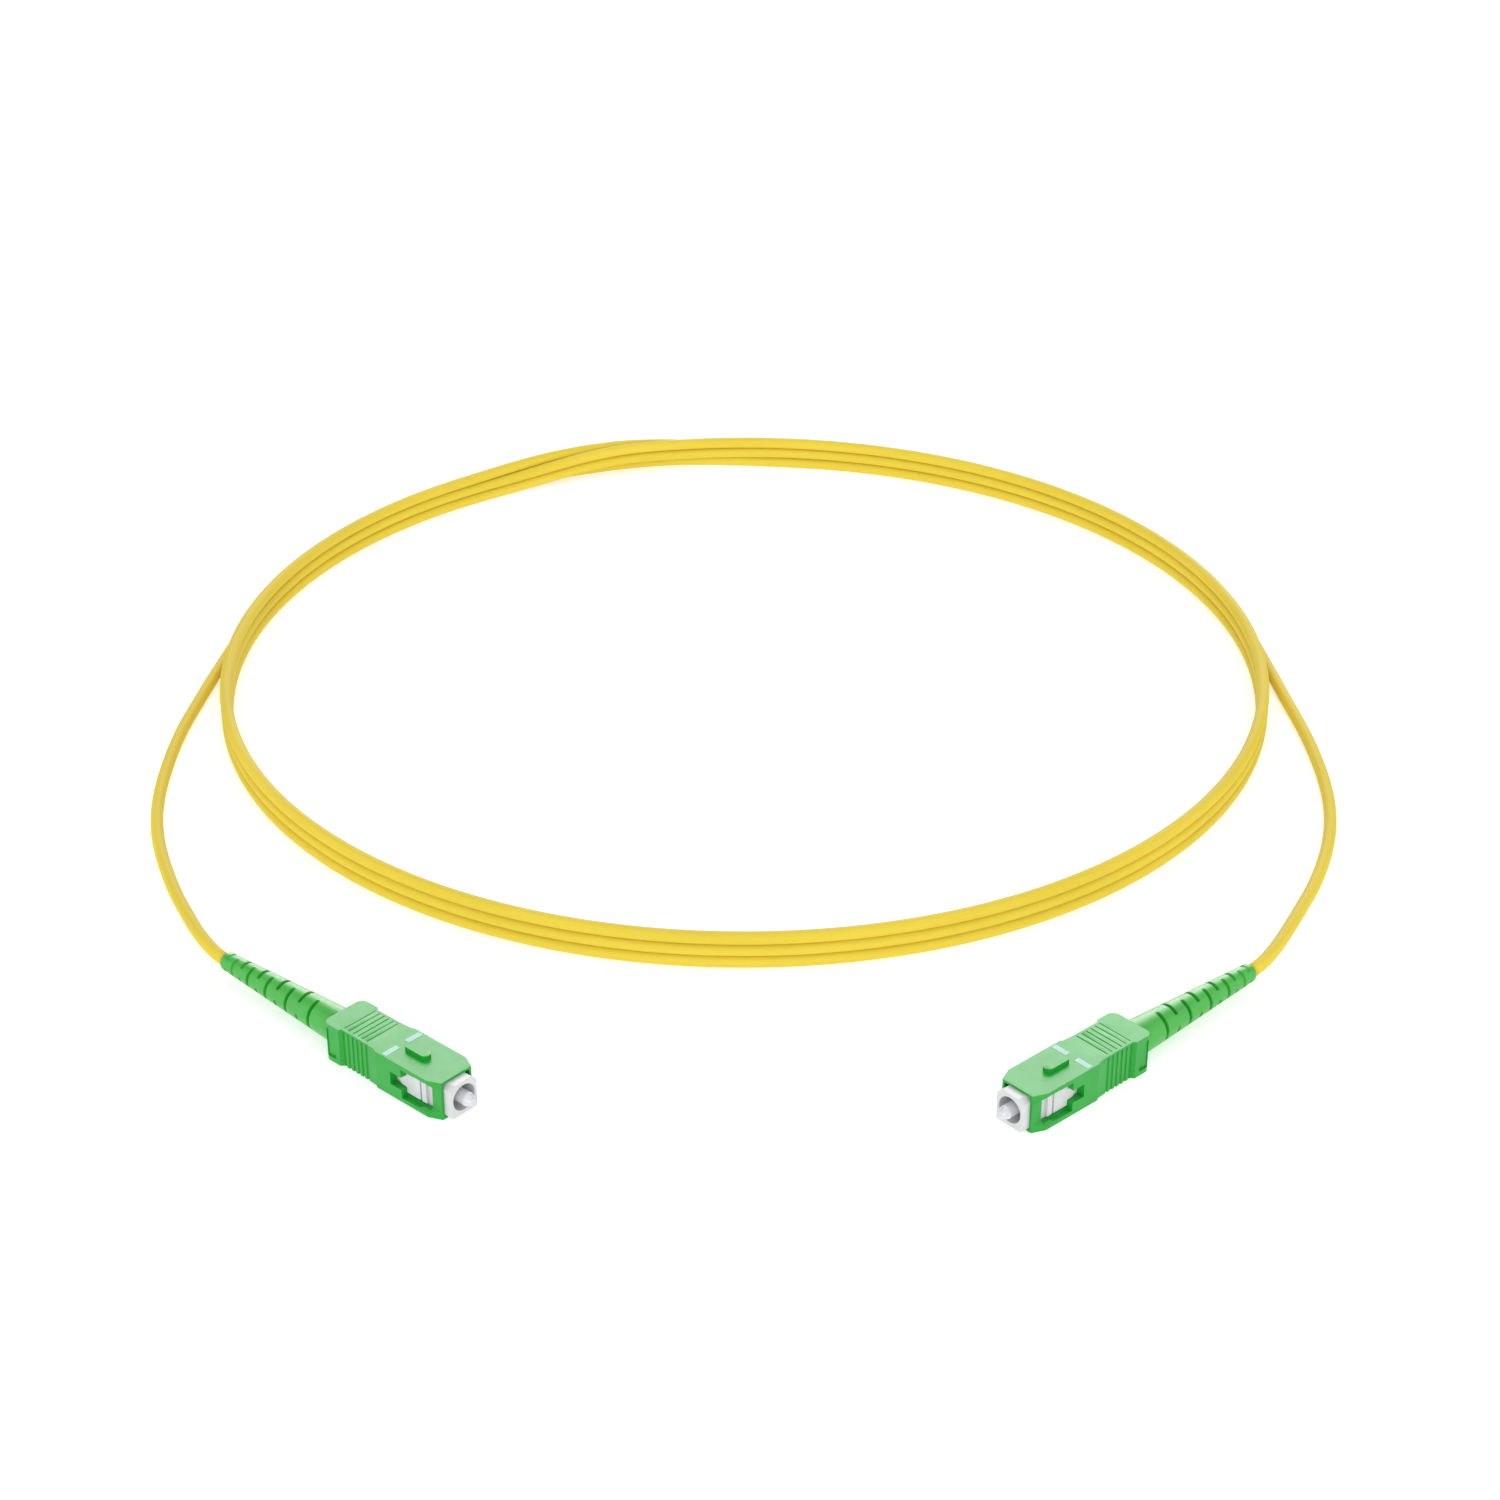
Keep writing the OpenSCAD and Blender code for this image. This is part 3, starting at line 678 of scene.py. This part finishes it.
def slotted_r(x, angle, hand):
    """The boot's outer radius, with its slots."""
    r = boot_r(x)
    return r - (r - SLOT_FLOOR_R) * slot_depth(x, angle, hand)


def boot_stations():
    """Places along the boot for its rings: close together round each slot."""
    half = SLOT_W / 2
    steps = [*FLOOR_STEPS, *(half + step for step in RIM_STEPS), SLOT_W]
    xs = {BOOT_FRONT_X, -GRIP_L, *PLAIN_STATIONS}
    for i in range(SLOT_STATIONS):
        for step in steps:
            xs |= {round(slot_x(i) + step, 3), round(slot_x(i) - step, 3)}
        xs.add(round((slot_x(i) + slot_x(i + 1)) / 2, 3))
    xs = {x for x in xs if x > TIP_X + BOOT_LIP_R}
    xs |= {TIP_X + BOOT_LIP_R * (1 - math.sin(math.radians(a))) for a in BOOT_LIP_DEGREES}
    return sorted(xs, reverse=True)


def boot_ring(mesh, x, radius_at):
    """A ring of corners round the boot; radius_at gives the radius at an angle."""
    ring = []
    for k in range(BOOT_SIDES):
        a = 2 * math.pi * k / BOOT_SIDES
        r = radius_at(a)
        ring.append(mesh.verts.new((x, r * math.cos(a), r * math.sin(a) + AXIS_H)))
    return ring


def build_boot(side):
    """The slotted strain relief: its skin from front to tip, then its stepped bore back again."""
    hand = -1 if side == "left" else 1
    mesh = bmesh.new()
    bores = [
        (TIP_X + BOOT_MOUTH_DEPTH, JACKET_BORE_R),
        (JACKET_BORE_X, JACKET_BORE_R),
        (JACKET_BORE_X, NECK_BORE_R),
        (NECK_BORE_X, NECK_BORE_R),
        (SLEEVE_BORE_X, SLEEVE_BORE_R),
        (BOOT_FRONT_X, SLEEVE_BORE_R),
    ]
    rings = [boot_ring(mesh, x, lambda a: slotted_r(x, a, hand)) for x in boot_stations()]
    rings += [boot_ring(mesh, x, lambda a: r) for x, r in bores]
    join_rings(mesh, rings)
    to_frame(mesh, side)
    return new_piece(side + "_strain_relief", mesh, boot_green, "boot_green", "cord_and_frames",
                     side + "_boot")


def build_spring(side):
    """The ferrule's spring, smooth shaded."""
    steel = turned_metal("spring_steel_" + side, side, light=(0.56, 0.57, 0.59),
                         dark=(0.47, 0.48, 0.50), roughness=0.28, pitch=0.11 * MM)
    mesh = clean_copy(side + "_ferrule_spring")
    to_frame(mesh, side)
    for edge in mesh.edges:
        edge.smooth = True
    spring = new_piece(side + "_coil_spring", mesh, steel, "spring_steel", "cord_and_frames",
                       side + "_ferrule_spring")
    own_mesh(spring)
    return spring


def finish_cad_nodes(side):
    """Gives the CAD nodes that stay as they are their materials."""
    finishes = {
        "seating_marks": mark_white,
        "glass_fiber": glass_fiber,
        "tight_buffer": buffer_white,
        "ferrule_flange": turned_metal(
            "flange_steel_" + side, side, light=(0.66, 0.66, 0.68), dark=(0.56, 0.56, 0.58),
            roughness=0.24, pitch=0.14 * MM),
        "stop_body": turned_metal(
            "rear_body_" + side, side, light=(0.76, 0.73, 0.66), dark=(0.66, 0.63, 0.56),
            roughness=0.26, pitch=0.18 * MM),
        "aramid_yarn": spun_yarn(side),
        "crimp_sleeve": turned_metal(
            "crimp_metal_" + side, side, light=(0.74, 0.74, 0.76), dark=(0.64, 0.64, 0.66),
            roughness=0.34, pitch=0.3 * MM),
        "jacket_end": jacket_end_yellow,
    }
    for part, material in finishes.items():
        node = nodes[side + "_" + part]
        node.data.materials.clear()
        node.data.materials.append(material)


for side in ("left", "right"):
    build_grip(side)
    build_frame(side)
    build_ferrule(side)
    build_boot(side)
    build_spring(side)
    finish_cad_nodes(side)

# ---------------------------------------------------------------- stage
FLOOR_HALF = 6.0
FLOOR_GLOW = 0.50       # lifts the paper to white while its contact shadows stay faint
ROOM_LIGHT = 0.45

floor = bpy.data.objects.new("floor", bpy.data.meshes.new("floor"))
scene.collection.objects.link(floor)
corners = [(-FLOOR_HALF, -FLOOR_HALF, 0), (FLOOR_HALF, -FLOOR_HALF, 0),
           (FLOOR_HALF, FLOOR_HALF, 0), (-FLOOR_HALF, FLOOR_HALF, 0)]
floor.data.from_pydata(corners, [], [(0, 1, 2, 3)])
paper = Look("paper", Roughness=0.9, Specular_IOR_Level=0.1)
paper.paint(paper.colours(paper.noise(paper.place(), scale=40), (0.68, 0.68, 0.68), (0.70, 0.70, 0.70)))
paper.shader.inputs["Emission Color"].default_value = (1, 1, 1, 1)
paper.shader.inputs["Emission Strength"].default_value = FLOOR_GLOW
floor.data.materials.append(paper.material)


def soft_light(name, size, place, target, power):
    """A square softbox, size metres wide and of that power in watts, that faces the target."""
    lamp = bpy.data.lights.new(name, "AREA")
    lamp.shape = "SQUARE"
    lamp.size = size
    lamp.energy = power
    obj = bpy.data.objects.new(name, lamp)
    scene.collection.objects.link(obj)
    obj.location = place
    obj.rotation_euler = (Vector(target) - Vector(place)).to_track_quat("-Z", "Y").to_euler()
    return obj


soft_light("overhead", 1.6, (0.1, 0.25, 1.5), (0, 0.08, 0), 9)
soft_light("front_fill", 1.6, (-0.1, -1.8, 0.6), (0, 0, 0), 20)
soft_light("left_fill", 0.5, (-0.62, -0.05, 0.22), (-0.1, 0.03, 0), 1.0)
soft_light("right_fill", 0.5, (0.62, -0.05, 0.22), (0.1, 0.03, 0), 1.0)
# Only a reflection in the glossy tops, so that it doesn't flatten the cords from behind.
backdrop = soft_light("backdrop", 2.0, (0.2, 2.2, 1.0), (0, 0, 0), 68)
backdrop.visible_diffuse = False

scene.view_settings.view_transform = "Standard"
world = bpy.data.worlds.new("world")
scene.world = world
world.use_nodes = True
world.node_tree.nodes["Background"].inputs["Color"].default_value = (1, 1, 1, 1)
world.node_tree.nodes["Background"].inputs["Strength"].default_value = ROOM_LIGHT
